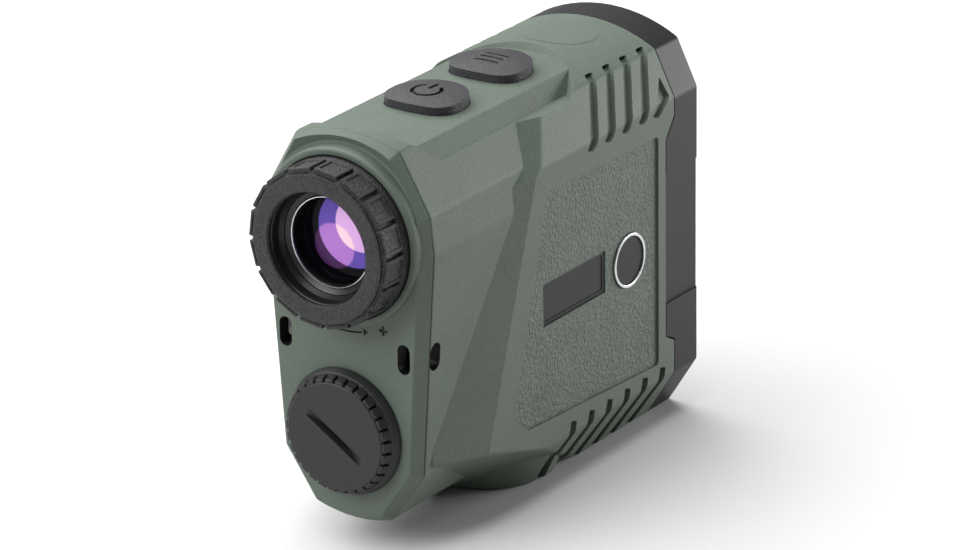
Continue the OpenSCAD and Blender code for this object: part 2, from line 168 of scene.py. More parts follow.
def drawn(name, outline, push, rounding=0):
    # an outline filled, its corners rounded, then pulled out to a solid; with no push it stays a line
    piece = startOutline(name, outline)
    if push is not None:
        bpy.ops.mesh.edge_face_add()
        if rounding:
            bpy.ops.mesh.bevel(offset=rounding * mm, segments=4, affect="VERTICES")
        bpy.ops.mesh.extrude_region_move(TRANSFORM_OT_translate={"value": push})
        bpy.ops.mesh.select_all(action="SELECT")
        bpy.ops.mesh.normals_make_consistent(inside=False)
    bpy.ops.object.mode_set(mode="OBJECT")
    return piece


def turned(name, centre, profile, steps=96, closed=True):
    # a profile of radius and station, spun round the Y axis through centre
    points = [centre + Vector((radius * mm, station * mm, 0)) for radius, station in profile]
    if closed:
        points.append(points[0])
    piece = startOutline(name, points)
    bpy.ops.mesh.spin(steps=steps, angle=2 * math.pi, center=centre, axis=(0, 1, 0))
    bpy.ops.mesh.select_all(action="SELECT")
    bpy.ops.mesh.remove_doubles(threshold=0.002 * mm)
    bpy.ops.mesh.normals_make_consistent(inside=False)
    bpy.ops.object.mode_set(mode="OBJECT")
    return piece


def join(name, pieces):
    bpy.ops.object.select_all(action="DESELECT")
    for piece in pieces:
        piece.select_set(True)
    bpy.context.view_layer.objects.active = pieces[0]
    bpy.ops.object.join()
    pieces[0].name = name
    return pieces[0]


def copyTurned(piece, angle, centre, axis="Y"):
    # a copy with its own mesh, turned about an axis through centre
    copied = piece.copy()
    copied.data = piece.data.copy()
    bpy.context.collection.objects.link(copied)
    turn = Matrix.Translation(centre) @ Matrix.Rotation(angle, 4, axis) @ Matrix.Translation(-centre)
    copied.matrix_world = turn
    return settle(copied)


# degrees, a point in mm, metres, and the lens in mm
camera = {"azimuth": 34.381, "elevation": 21.396, "roll": -0.855, "aim": (12.03, 27.68, 46.76),
          "distance": 0.95476, "lens": 186.64}


def makeCamera():
    turn = math.radians(camera["azimuth"])
    lift = math.radians(camera["elevation"])
    roll = math.radians(camera["roll"])
    back = Vector((math.sin(turn) * math.cos(lift), -math.cos(turn) * math.cos(lift), math.sin(lift)))
    right = Vector((math.cos(turn), math.sin(turn), 0))
    up = back.cross(right)
    rolledRight = right * math.cos(roll) + up * math.sin(roll)
    rolledUp = up * math.cos(roll) - right * math.sin(roll)
    lens = bpy.data.cameras.new("camera")
    lens.lens = camera["lens"]
    lens.sensor_width = 36
    lens.clip_start = 0.01
    lens.clip_end = 20
    holder = bpy.data.objects.new("camera", lens)
    bpy.context.scene.collection.objects.link(holder)
    holder.matrix_world = Matrix.Translation(at(*camera["aim"]) + back * camera["distance"]) @ Matrix(
        (rolledRight, rolledUp, back)).transposed().to_4x4()
    bpy.context.scene.camera = holder


makeCamera()

# name: place and aim in millimetres, width and height in metres, watts
lamps = {
    "topSoftbox": {"place": (-340, 80, 760), "aim": (0, 40, 60), "size": (1.3, 1.5), "power": 21},
    "leftSoftbox": {"place": (-340, -690, 520), "aim": (0, 0, 50), "size": (0.5, 0.5), "power": 5.4},
    "rightSoftbox": {"place": (480, 760, 150), "aim": (0, 40, 60), "size": (0.6, 0.28), "power": 6.5},
}


def makeLamp(name, place, aim, size, power):
    light = bpy.data.lights.new(name, "AREA")
    light.shape = "RECTANGLE"
    light.size, light.size_y = size
    light.energy = power
    holder = bpy.data.objects.new(name, light)
    bpy.context.scene.collection.objects.link(holder)
    holder.location = at(*place)
    holder.rotation_euler = (at(*place) - at(*aim)).to_track_quat("Z", "Y").to_euler()


for name, lamp in lamps.items():
    makeLamp(name, **lamp)

world = bpy.data.worlds.new("studio")
bpy.context.scene.world = world
world.use_nodes = True
world.node_tree.nodes["Background"].inputs["Color"].default_value = (1, 1, 1, 1)
world.node_tree.nodes["Background"].inputs["Strength"].default_value = 0.14
bpy.context.scene.view_settings.view_transform = "Standard"
print("camera and light ready")


def hexColour(code):
    channels = [int(code[i:i + 2], 16) / 255 for i in (1, 3, 5)]
    return [c / 12.92 if c <= 0.04045 else ((c + 0.055) / 1.055) ** 2.4 for c in channels] + [1]


def newMaterial(name, colour, roughness, **options):
    # a shader with its plain settings; returns the material, its nodes' tree and the shader
    material = bpy.data.materials.new(name)
    material.use_nodes = True
    tree = material.node_tree
    shader = tree.nodes["Principled BSDF"]
    shader.inputs["Base Color"].default_value = hexColour(colour)
    shader.inputs["Roughness"].default_value = roughness
    for option, value in options.items():
        shader.inputs[option.replace("_", " ")].default_value = value
    return material, tree, shader


def addNode(tree, kind, settings=None, values=None, links=None):
    # links: this node's input to (another node, its output); inputs and outputs by name or number
    node = tree.nodes.new(kind)
    for setting, value in (settings or {}).items():
        setattr(node, setting, value)
    for socket, value in (values or {}).items():
        node.inputs[socket].default_value = value
    for socket, (source, output) in (links or {}).items():
        tree.links.new(source.outputs[output], node.inputs[socket])
    return node


def grained(name, colour, shadeColour, roughness, grain, height, **options):
    # moulded surface: grain is the size of one bump in mm, height its depth in mm
    material, tree, shader = newMaterial(name, colour, roughness, **options)
    place = addNode(tree, "ShaderNodeTexCoord")
    pits = addNode(tree, "ShaderNodeTexNoise", {},
                   {"Scale": 1 / (grain * mm), "Detail": 2.0, "Roughness": 0.55},
                   {"Vector": (place, "Object")})
    # a slow drift of tone, 9 mm across, as a moulding has
    cloud = addNode(tree, "ShaderNodeTexNoise", {}, {"Scale": 1 / (9 * mm), "Detail": 3.0},
                    {"Vector": (place, "Object")})
    driftAndPitShade = addNode(tree, "ShaderNodeMath", {"operation": "MULTIPLY_ADD"}, {1: 0.35},
                    {0: (cloud, "Fac"), 2: (pits, "Fac")})
    # the colour falls to shadeColour where the bump is low: painted shade in the pits, mixed with the real
    # slow drift of tone
    ramp = addNode(tree, "ShaderNodeValToRGB", {}, {}, {"Fac": (driftAndPitShade, "Value")})
    ramp.color_ramp.elements[0].position = 0.3
    ramp.color_ramp.elements[0].color = hexColour(shadeColour)
    ramp.color_ramp.elements[1].position = 0.8
    ramp.color_ramp.elements[1].color = hexColour(colour)
    tree.links.new(ramp.outputs["Color"], shader.inputs["Base Color"])
    bump = addNode(tree, "ShaderNodeBump", {}, {"Strength": 1.0, "Distance": height * mm},
                   {"Height": (pits, "Fac")})
    tree.links.new(bump.outputs["Normal"], shader.inputs["Normal"])
    return material


# mould-textured plastic scatters its reflections, so it shines less than smooth plastic
dry = {"Specular_IOR_Level": 0.25}

# glass-filled nylon with a fine spark-eroded texture: matt, a dry sheen on the edges; the real
# grain of about 0.15 mm is drawn at 0.5 mm so that it shows, and the other fine textures likewise
shellPlastic = grained("sparkErodedGreenNylon", "#59635a", "#4c564d", 0.55, 0.5, 0.06, **dry)
# the same nylon over a coarse leather grain: the pits between raised cells are painted darker, as painted
# shade
leatherPlastic = grained("leatherGrainGreenNylon", "#5a645b", "#414a41", 0.55, 0.62, 0.4, **dry)
# the rear cover is the same nylon with a smoother, satin mould surface
coverPlastic = grained("satinGreenNylon", "#59635a", "#525c53", 0.5, 0.6, 0.02, **dry)
# glass-filled polycarbonate, satin black, finely textured: a soft, even grey sheen
bezelPlastic = grained("satinBlackPolycarbonate", "#19191a", "#151516", 0.48, 0.4, 0.01, **dry)
# acetal, moulded nearly smooth: a waxy dark grey
capPlastic = grained("satinBlackAcetal", "#2c2c2d", "#29292a", 0.45, 0.4, 0.005, **dry)
# nitrile rubber with a stipple: the pits are painted near black and the crests lighter, as painted shade
rubberSkin = grained("stippledBlackRubber", "#343436", "#0f0f10", 0.44, 0.45, 0.28, **dry)
buttonSkin = grained("stippledButtonRubber", "#3c3c3f", "#1a1a1c", 0.5, 0.45, 0.14, **dry)
# ABS label with a faint stipple: the deepest black of the outside
labelPlastic = grained("stippledLabelPlastic", "#131415", "#0d0e0f", 0.5, 0.4, 0.04, **dry)
# what sits inside: moulded nylon, silicone, solder mask over copper, a printed sleeve
innerPlastic = grained("mouldedInnerNylon", "#2a2c2e", "#222426", 0.6, 0.4, 0.01, **dry)
# this silicone black also serves as painted shade on the walls of the strap passages and slots and on the
# floors of the button signs
sealRubberAndPaintedShade = grained("siliconeSealAndPaintedShade", "#1b1c1d", "#151516", 0.5, 0.6, 0.01)
circuitBoard = grained("solderMaskBoard", "#2d6b45", "#24583a", 0.35, 1.6, 0.004)
cellJacket = grained("printedCellJacket", "#8a8f94", "#7d8287", 0.35, 2.0, 0.002)
# black anodised aluminium, turned: deep black with a soft grey sheen
anodised = grained("blackAnodisedAluminium", "#242425", "#1d1d1e", 0.34, 0.5, 0.002, Metallic=0.35)
# polished and plated metals and turned brass: bright, with a faint machining haze
polishedMetal = grained("polishedNickelTrim", "#c9cbcc", "#b4b6b8", 0.22, 1.2, 0.001, Metallic=1.0)
nickelSteel = grained("nickelPlatedSteel", "#b9b8b2", "#a09f99", 0.3, 0.8, 0.002, Metallic=1.0)
turnedBrass = grained("turnedBrass", "#b08d45", "#98783a", 0.3, 0.6, 0.003, Metallic=1.0)
# ground glass: pale blue-grey with a soft shine
prismGlass = grained("groundPrismGlass", "#9fb6c0", "#8ca3ad", 0.15, 1.5, 0.001)


def makeFrontCoating():
    # magnesium fluoride over dark glass: near black face-on, blue-green in the highlight
    material, tree, shader = newMaterial("coatedObjectiveGlass", "#0c1216", 0.05, Coat_Weight=1.0, IOR=1.6)
    shader.inputs["Coat Tint"].default_value = hexColour("#7fb6c8")
    shader.inputs["Coat Roughness"].default_value = 0.03
    place = addNode(tree, "ShaderNodeTexCoord")
    cloud = addNode(tree, "ShaderNodeTexNoise", {}, {"Scale": 1 / (11.1 * mm), "Detail": 1.0},
                    {"Vector": (place, "Object")})
    ramp = addNode(tree, "ShaderNodeValToRGB", {}, {}, {"Fac": (cloud, "Fac")})
    ramp.color_ramp.elements[0].color = hexColour("#0a1014")
    ramp.color_ramp.elements[1].color = hexColour("#1a2a33")
    tree.links.new(ramp.outputs["Color"], shader.inputs["Base Color"])
    return material


# painted reflections on the coated eyepiece glass, in mm across and up from the axis
glints = {
    "violet": {"across": 4.3, "up": 3.1, "radius": 7.7, "blur": 0.12},
    "lower": {"across": 0.1, "up": -1.0, "radius": 4.4, "blur": 0.2},
    "pink": {"across": 6.0, "up": 4.3, "radius": 5.5, "blur": 0.12},
}
# each painted field's colour outside and inside the lower painted reflection
paintedReflectionTones = {"dark": ("#050407", "#3c2147"), "violet": ("#584696", "#9c6bb4"),
              "pink": ("#c49acb", "#e3bcc9")}


def makePaintedReflectionGlass():
    # multi-coated eyepiece glass: black depth, with painted violet and pink reflections of the studio in
    # its colour
    material, tree, shader = newMaterial("eyepieceGlassPaintedReflections", "#060507", 0.04, Coat_Weight=0.05, IOR=1.52)
    shader.inputs["Coat Roughness"].default_value = 0.02
    shader.inputs["Specular IOR Level"].default_value = 0.03
    place = addNode(tree, "ShaderNodeTexCoord")
    flat = addNode(tree, "ShaderNodeVectorMath", {"operation": "MULTIPLY"}, {1: (1, 0, 1)},
                   {0: (place, "Object")})
    discs = {}
    for name, glint in glints.items():
        point = at(glint["across"], 0, axisZ["eyepiece"] + glint["up"])
        away = addNode(tree, "ShaderNodeVectorMath", {"operation": "DISTANCE"},
                       {1: (point.x, 0, point.z)}, {0: (flat, "Vector")})
        discs[name] = addNode(tree, "ShaderNodeMapRange", {}, {
            "From Min": (glint["radius"] + glint["blur"]) * mm,
            "From Max": (glint["radius"] - glint["blur"]) * mm}, {"Value": (away, "Value")})
    # a colour Mix node has its factor at input 0, its colours at 6 and 7, and the result at output 2
    fields = {}
    for name, (outside, inside) in paintedReflectionTones.items():
        fields[name] = addNode(tree, "ShaderNodeMix", {"data_type": "RGBA"},
                               {6: hexColour(outside), 7: hexColour(inside)}, {0: (discs["lower"], 0)})
    paintedReflections = addNode(tree, "ShaderNodeMix", {"data_type": "RGBA"}, {},
                    {0: (discs["pink"], 0), 6: (fields["violet"], 2), 7: (fields["pink"], 2)})
    glass = addNode(tree, "ShaderNodeMix", {"data_type": "RGBA"}, {},
                    {0: (discs["violet"], 0), 6: (fields["dark"], 2), 7: (paintedReflections, 2)})
    # the painted reflections go into the base colour and also glow as emission, so the glass shines though
    # it is no lamp
    tree.links.new(glass.outputs[2], shader.inputs["Base Color"])
    tree.links.new(glass.outputs[2], shader.inputs["Emission Color"])
    shader.inputs["Emission Strength"].default_value = 0.35
    return material


frontCoating = makeFrontCoating()
paintedReflectionGlass = makePaintedReflectionGlass()
print("materials ready")


def give(piece, *materials):
    piece.data.materials.clear()
    for material in materials:
        piece.data.materials.append(material)


def paintFaces(piece, slot, test):
    # faces chosen by their centre, in mm from the rear rim, and their normal
    for face in piece.data.polygons:
        x, y, z = face.center / mm
        if face.material_index == 0 and test(x, y - rearY / mm, z, face.normal):
            face.material_index = slot


# half outlines in X and Z, from the lower corner to the upper one
rearOutline = [(8.3, 5.8), (15.7, 16.1), (18.9, 61.1), (18.1, 68.5), (11.5, 79.9)]
frontOutline = [(13.5, 0), (20, 10.3), (20, 67.8), (15.5, 77.1)]


def trimToOutline(piece, outline, shrink=0):
    # both flanks follow the outline
    for (x0, z0), (x1, z1) in zip(outline, outline[1:]):
        normal = Vector((z1 - z0, 0, x0 - x1)).normalized()
        trimBothSides(piece, at(x0, 40, z0) - normal * shrink * mm, normal)


def trimToArc(piece, half, z, rise, cuts=14, shrink=0):
    # rounds the top, or with a negative rise the bottom, to an arc across the width
    radius = (half * half + rise * rise) / (2 * abs(rise))
    way = 1 if rise > 0 else -1
    middle = z + rise - way * radius
    spread = math.asin(half / radius)
    for i in range(cuts):
        angle = spread * (2 * (i + 0.5) / cuts - 1)
        normal = Vector((math.sin(angle), 0, way * math.cos(angle)))
        trim(piece, at((radius - shrink) * normal.x, 40, middle + (radius - shrink) * normal.z), normal)


housing = {
    "half": 20, "rearHalf": 19, "clear": 24,  # two half widths and a place well outside them
    "length": 80.5, "sideLength": 77.4, "sideLow": 17.1, "sideHigh": 64.2, "edge": 0.5,
    "rearCrown": 2.0, "frontCrown": 3.9, "dip": 1.35,
    "deckZ": 79.0, "deckCrown": 0.8, "stepZ": 75.6, "hoodRadius": 23, "hoodY": 36.6,
    "facetSlope": 0.3386, "facetY": 9.64,
    "slotPitch": 6.0, "notchPitch": 6.4, "shoulderDepth": 0.85, "chinDepth": 1.0,
    "panelDepth": 0.5, "plateDepth": 1.4,
    # bores for the inner pieces: axis, radius, from, to
    "bores": [("cap", 11.05, -2, 37), ("eyepiece", 13.3, -2, 17), ("objective", 13.45, 56, 90),
              ("emitter", 9.45, 56, 90)],
}
boss = {"y": 43, "radius": 14, "rootRadius": 18.4, "height": 11, "socket": 4.5}
hoodPad = {"y": 70.5, "radius": 7.6, "raised": 0.07}
# outlines drawn in Y and Z
shoulderSlot = [(57.8, 77.9), (60.5, 77.9), (54.0, 68.2), (52.6, 66.0), (51.4, 65.6), (49.7, 66.2),
                (51.2, 68.4)]
shoulderTip = [(78.5, 72.3), (79.3, 68.4), (75.0, 65.3), (72.8, 66.0)]
chinNotch = [(43.4, 13), (45.3, 12.4), (42.2, -2), (39, -2)]
panelOutline = [(36, 62.4), (74.8, 61.6), (74.8, 13.8), (28.2, 16.4), (23.6, 20.4)]
# nameplate and badge: the recess in the flank, then the pieces that lie in it
plate = {"y": 34.8, "z": 35.2, "length": 21.6, "height": 8.7, "gap": 0.15, "back": 18.75, "face": 19.3}
badge = {"y": 64.7, "z": 39.1, "radius": 5.6, "rim": 5.5, "rimInside": 4.9, "disc": 4.85,
         "back": 18.6, "rimFace": 19.95, "discFace": 19.6}


def frontForm(name, y0, y1, shrink=0):
    # the wide front part, or a copy of it smaller all round
    form = block(name, at(-housing["clear"], y0, shrink), at(housing["clear"], y1, 84))
    trimToOutline(form, frontOutline, shrink)
    trimToArc(form, 15.5, 77.1, housing["frontCrown"], shrink=shrink)
    return form


def facetFront(form):
    # planes that lead the wide front out of the narrow rear, each by a point and its normal
    slope = housing["facetSlope"]
    trimBothSides(form, at(20, housing["facetY"], 0), (68, -19, 19 * slope))
    trimBothSides(form, at(19.8, 34, 68.1), (35.7, -15.5, 28.3))
    trimBothSides(form, at(20, 16, 16), (139.6, -64.4, -210.6))
    return form


def flankCutter(outline, side, x0, x1, forward=0, rounding=0.5):
    # a bar across one flank, its outline drawn in Y and Z
    points = [at(side * x0, y + forward, z) for y, z in outline]
    return drawn("cut", points, Vector((side * (x1 - x0) * mm, 0, 0)), rounding)


def grooveFlanks(shell):
    # each group of finger grooves keeps one depth below the skin, whichever way the skin turns
    shoulder, chin = housing["slotPitch"], housing["notchPitch"]
    for side in (1, -1):
        upper = [flankCutter(shoulderSlot, side, 8, 26, i * shoulder, 0.55) for i in range(4)]
        upper.append(flankCutter(shoulderTip, side, 8, 26, 0, 0.4))
        lower = [flankCutter(chinNotch, side, 8, 26, i * chin, 0.3) for i in range(6)]
        for bars, depth in ((upper, housing["shoulderDepth"]), (lower, housing["chinDepth"])):
            core = frontForm("core", 20, 79.7, depth)
            for bar in bars:
                applyModifier(bar, "BOOLEAN", operation="DIFFERENCE", solver="EXACT", object=core)
                combine(shell, bar)
            bpy.data.objects.remove(core)


def sinkPanels(shell):
    floor = housing["half"] - housing["plateDepth"]
    low, high = plate["y"], plate["y"] + plate["length"]
    base, top = plate["z"], plate["z"] + plate["height"]
    window = [(low, base), (high, base), (high, top), (low, top)]
    for side in (1, -1):
        combine(shell, flankCutter(panelOutline, side, housing["half"] - housing["panelDepth"],
                                   housing["clear"], 0, 1.0))
        combine(shell, flankCutter(window, side, floor, housing["clear"], 0, 0.3))
        combine(shell, rod("cut", badge["radius"], at(side * floor, badge["y"], badge["z"]),
                           at(side * housing["clear"], badge["y"], badge["z"])))


# cord slots: one in the rear cover and one in the flank on each side
strap = {"x": 13.45, "z": 40.3, "width": 2.8, "height": 5.9,
         "sideY": 1.85, "sideWidth": 3.2, "sideHeight": 5.6}


def strapCutter(start, end, across, height, width):
    # an upright slot with round ends, its outline drawn at the start and pulled to the end
    reach = (height - width) / 2
    outline = []
    for i in range(26):  # 13 points round the upper end and 13 round the lower one
        angle = math.pi * (i if i < 13 else i - 1) / 12
        lift = reach if i < 13 else -reach
        outline.append(start + across * width / 2 * math.cos(angle) * mm
                       + Vector((0, 0, (width / 2 * math.sin(angle) + lift) * mm)))
    return drawn("cut", outline, end - start)


def makeHousing():
    front = facetFront(frontForm("housingShell", 2, 90))
    soften(front, housing["edge"], segments=5)
    # the deck is cut back to the curved rear edge of the hood
    hoodCut = rod("cut", housing["hoodRadius"] - 2.4, at(0, housing["hoodY"], housing["stepZ"]),
                  at(0, housing["hoodY"], 90), sides=128, endRadius=housing["hoodRadius"] + 8)
    combine(front, hoodCut)
    combine(front, block("cut", at(-30, -10, housing["stepZ"]), at(30, housing["hoodY"], 90)))
    rear = block("rear", at(-housing["rearHalf"], 0, 4.45), at(housing["rearHalf"], 60, 82))
    trimToOutline(rear, rearOutline)
    trimToArc(rear, 11.5, 79.9, housing["rearCrown"])
    trimToArc(rear, 8.3, 5.8, -housing["dip"], cuts=6)
    soften(rear, 0.5, angle=9)
    # above the step the rim slopes down to the deck
    above = block("cut", at(-30, 1.6, 75.65), at(30, 70, 90))
    trim(above, at(0, 1.6, 82), (0, -2.6, -3.4))
    combine(rear, above)
    deck = block("deck", at(-14, 1.5, 70), at(14, 60, 79.8))
    trimBothSides(deck, at(13.65, 40, 75.65), (3.3, 0, 2.35))
    trimToArc(deck, 11.3, housing["deckZ"], housing["deckCrown"], cuts=8)
    soften(deck, 0.35, angle=15)
    combine(rear, deck, "UNION")
    foot = rod("foot", boss["radius"], at(0, boss["y"], 0), at(0, boss["y"], boss["height"]), sides=128,
               endRadius=boss["rootRadius"])
    soften(foot, 0.8, angle=30)
    combine(front, rear, "UNION")
    combine(front, foot, "UNION")
    # low oval pad on the crown of the hood
    pad = frontForm("pad", 60, 79, -hoodPad["raised"])
    oval = rod("oval", hoodPad["radius"], at(0, hoodPad["y"], 78), at(0, hoodPad["y"], 84), sides=128)
    combine(pad, oval, "INTERSECT")
    combine(front, pad, "UNION")
    # the front edge steps back along the sides, where the bezel reaches round
    trim(front, at(0, housing["length"], 40), (0, 1, 0))
    sideStep = block("cut", at(-30, housing["sideLength"], housing["sideLow"]),
                     at(30, 95, housing["sideHigh"]))
    trim(sideStep, at(0, housing["length"], housing["sideLow"]), (0, -1.7, -3.1))
    trim(sideStep, at(0, housing["length"], housing["sideHigh"]), (0, -4.2, 3.1))
    combine(front, sideStep)
    grooveFlanks(front)
    sinkPanels(front)
    for side in (1, -1):
        # one passage enters from the flank, the other from the rear rim, and they meet
        combine(front, strapCutter(at(side * 10, strap["sideY"], strap["z"]),
                                   at(side * housing["clear"], strap["sideY"], strap["z"]),
                                   Vector((0, 1, 0)), strap["sideHeight"], strap["sideWidth"]))
        combine(front, strapCutter(at(side * strap["x"], -3, strap["z"]),
                                   at(side * strap["x"], 2.9, strap["z"]),
                                   Vector((1, 0, 0)), strap["sideHeight"], strap["width"]))
    for y in (power["y"], mode["y"]):
        combine(front, buttonBlank("cut", y, 78, button["top"], 0.15))
    for axis, radius, y0, y1 in housing["bores"]:
        combine(front, rod("cut", radius, at(0, y0, axisZ[axis]), at(0, y1, axisZ[axis])))
    combine(front, rod("cut", boss["socket"], at(0, boss["y"], -1), at(0, boss["y"], 8)))
    return front


button = {"half": 7.8, "length": 14.6, "rearRadius": 16, "corner": 5.0, "crown": 34, "crownTop": 82.2,
          "base": 76.3, "top": 84, "signFloor": 81.4}
power = {"y": 19}
mode = {"y": 40.4}


def buttonBlank(name, y, z0, z1, grow=0):
    # half-round front, straight sides, large rear corners and a slightly bowed rear edge
    half = button["half"] + grow
    corner = button["corner"] + grow
    middle = button["length"] - button["half"]
    # the corner arcs and the rear arc meet without a kink
    across = half - corner
    gap = button["rearRadius"] - button["corner"]
    up = button["rearRadius"] - math.sqrt(gap ** 2 - across ** 2)
    lean = math.degrees(math.asin(across / gap))
    arcs = [(0, middle, half, 0, 180, 32), (-across, up, corner, 180, 270 - lean, 10),
            (0, button["rearRadius"], button["rearRadius"] + grow, 270 - lean, 270 + lean, 6),
            (across, up, corner, 270 + lean, 360, 10)]
    outline = []
    for cx, cy, radius, start, end, steps in arcs:
        for i in range(steps):
            angle = math.radians(start + (end - start) * i / steps)
            outline.append((cx + radius * math.cos(angle), cy + radius * math.sin(angle)))
    return drawn(name, [at(px, y + py, z0) for px, py in outline], Vector((0, 0, (z1 - z0) * mm)))


def deselectMesh(piece, kind):
    selectOnly(piece)
    bpy.ops.object.mode_set(mode="EDIT")
    bpy.ops.mesh.select_mode(type=kind)
    bpy.ops.mesh.select_all(action="DESELECT")
    bpy.ops.object.mode_set(mode="OBJECT")


def selectEdges(piece, test):
    # edges chosen by their two ends
    deselectMesh(piece, "EDGE")
    points = piece.data.vertices
    for edge in piece.data.edges:
        edge.select = test(points[edge.vertices[0]].co, points[edge.vertices[1]].co)


def selectFaces(piece, test):
    # faces chosen by their centre and normal
    deselectMesh(piece, "FACE")
    for face in piece.data.polygons:
        face.select = test(face.center, face.normal)


def onPanelFloor(x, y, z, normal):
    return abs(normal.x) > 0.99 and abs(abs(x) - housing["half"] + housing["panelDepth"]) < 0.05 and y > 22


def inStrapPassage(x, y, z, normal):
    return abs(x) < 19.6 and -0.2 < y < 3.6 and abs(z - strap["z"]) < 3.2


shell = makeHousing()
soften(shell, 0.14, segments=1, angle=38)
shade(shell, 12)
give(shell, shellPlastic, leatherPlastic, sealRubberAndPaintedShade)
paintFaces(shell, 1, onPanelFloor)
paintFaces(shell, 2, inStrapPassage)  # the walls of the strap passages are painted black, as painted shade
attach(shell, "root")
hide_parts("main_housing")
print("housing shell", len(shell.data.polygons))

cover = {
    "face": -2.6, "seam": -0.03, "drawIn": (0.9, 1, 0.955), "capHole": 9.55, "eyeHole": 14,
    "valleyTilt": -4.4,
    # profiles of radius and station
    "valley": [(16, -6), (16, -2.45), (18.0, -2.3), (19.3, -2.9), (21.5, -4.1), (21.5, -6)],
    "collar": [(12.1, -0.6), (12.1, -2.5), (15.95, -2.5), (15.95, -3.3), (16.15, -3.5), (16.8, -3.5),
               (17.15, -3.35), (17.3, -3.0), (17.5, -0.6)],
}
# the focusing mark on the rear face: an arrow bent round the eyepiece, in degrees, and a plus sign,
# all cut from behind, starting at "from"
mark = {"radius": 18.5, "width": 0.4, "start": -98, "end": -77, "plusX": 8.95, "plusZ": 45.1,
        "from": -5}


def makeCover():
    plateBody = block("rearCoverPlate", at(-housing["rearHalf"], cover["face"], 4.4),
                      at(housing["rearHalf"], cover["seam"], 82))
    trimToOutline(plateBody, rearOutline)
    trimToArc(plateBody, 11.5, 79.9, housing["rearCrown"])
    trimToArc(plateBody, 8.3, 5.8, -housing["dip"], cuts=6)
    # the rear face is drawn in, which leaves a bevelled strip all round
    selectFaces(plateBody, lambda centre, normal: normal.y < -0.9)
    bpy.ops.object.mode_set(mode="EDIT")
    bpy.ops.transform.resize(value=cover["drawIn"], center_override=at(0, cover["face"], 42))
    bpy.ops.object.mode_set(mode="OBJECT")
    soften(plateBody, 0.3, segments=4, angle=12)
    editAll(plateBody, (bpy.ops.mesh.vert_connect_nonplanar, dict(angle_limit=math.radians(0.05))))
    eye = at(0, 0, axisZ["eyepiece"])
    # the marks are engraved
    combine(plateBody, arcBar(eye, mark["radius"], mark["width"], mark["start"], mark["end"]))
    combine(plateBody, arrowHead(eye, mark["radius"], mark["end"] + 1))
    combine(plateBody, cross(at(mark["plusX"], 0, mark["plusZ"]), 1.9, 0.6))
    for side in (1, -1):
        combine(plateBody, strapCutter(at(side * strap["x"], -6, strap["z"]),
                                       at(side * strap["x"], 3, strap["z"]),
                                       Vector((1, 0, 0)), strap["height"], strap["width"]))
    combine(plateBody, rod("cut", cover["capHole"], at(0, -6, axisZ["cap"]), at(0, 3, axisZ["cap"])))
    # hollow that runs round the upper part of the collar and dies out below it
    valley = turned("valley", eye, cover["valley"], 128)
    tilt = Matrix.Rotation(math.radians(cover["valleyTilt"]), 4, "X")
    valley.matrix_world = Matrix.Translation(eye) @ tilt @ Matrix.Translation(-eye)
    settle(valley)
    combine(plateBody, valley)
    combine(plateBody, rod("cut", cover["eyeHole"], at(0, -6, axisZ["eyepiece"]),
                           at(0, 3, axisZ["eyepiece"]), sides=128))
    combine(plateBody, turned("collar", eye, cover["collar"], 128), "UNION")
    return plateBody


def arcBar(centre, radius, width, start, end, steps=10, depth=-2.3):
    # a bar bent round the Y axis through centre, angles in degrees from +X
    angles = [math.radians(start + (end - start) * i / steps) for i in range(steps + 1)]
    ring = [(radius + width / 2, a) for a in angles] + [(radius - width / 2, a) for a in reversed(angles)]
    points = [centre + Vector((r * math.cos(a), mark["from"], r * math.sin(a))) * mm for r, a in ring]
    return drawn("cut", points, Vector((0, depth - mark["from"], 0)) * mm)


def arrowHead(centre, radius, angle, length=1.3, half=0.75, depth=-2.3):
    turn = math.radians(angle)
    out = Vector((math.cos(turn), 0, math.sin(turn)))
    along = Vector((-math.sin(turn), 0, math.cos(turn)))
    base = centre + Vector((0, mark["from"], 0)) * mm
    corners = [base + (out * radius + along * length) * mm]
    corners += [base + out * (radius + reach) * mm for reach in (half, -half)]
    return drawn("cut", corners, Vector((0, depth - mark["from"], 0)) * mm)


def cross(centre, size, width, depth=-2.25):
    bars = []
    for across, up in ((width, size), (size, width)):
        low = Vector((-across / 2, mark["from"], -up / 2))
        high = Vector((across / 2, depth, up / 2))
        bars.append(block("cut", centre + low * mm, centre + high * mm))
    return combine(bars[0], bars[1], "UNION")


def inFocusMark(x, y, z, normal):
    return -2.45 < y < -2.1 and normal.y < -0.9 and 40 < z < 47 and -4 < x < 11


def inStrapSlot(x, y, z, normal):
    return abs(abs(x) - strap["x"]) < 1.5 and abs(z - strap["z"]) < 3.1 and normal.y > -0.5


coverPlate = makeCover()
shade(coverPlate, 14)
give(coverPlate, coverPlastic, sealRubberAndPaintedShade)
paintFaces(coverPlate, 1, inFocusMark)  # black paint fills the engraving
# the walls of the strap slots are painted black, as painted shade
paintFaces(coverPlate, 1, inStrapSlot)
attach(coverPlate, "root")
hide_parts("rear_cover")
print("rear cover", len(coverPlate.data.polygons))

bezel = {"rear": 77.65, "front": 89.3, "seam": 0.25, "sink": 1.2, "wall": 2.2, "hollow": 0.45,
         "eyes": {"objective": 13.5, "emitter": 9.5}}


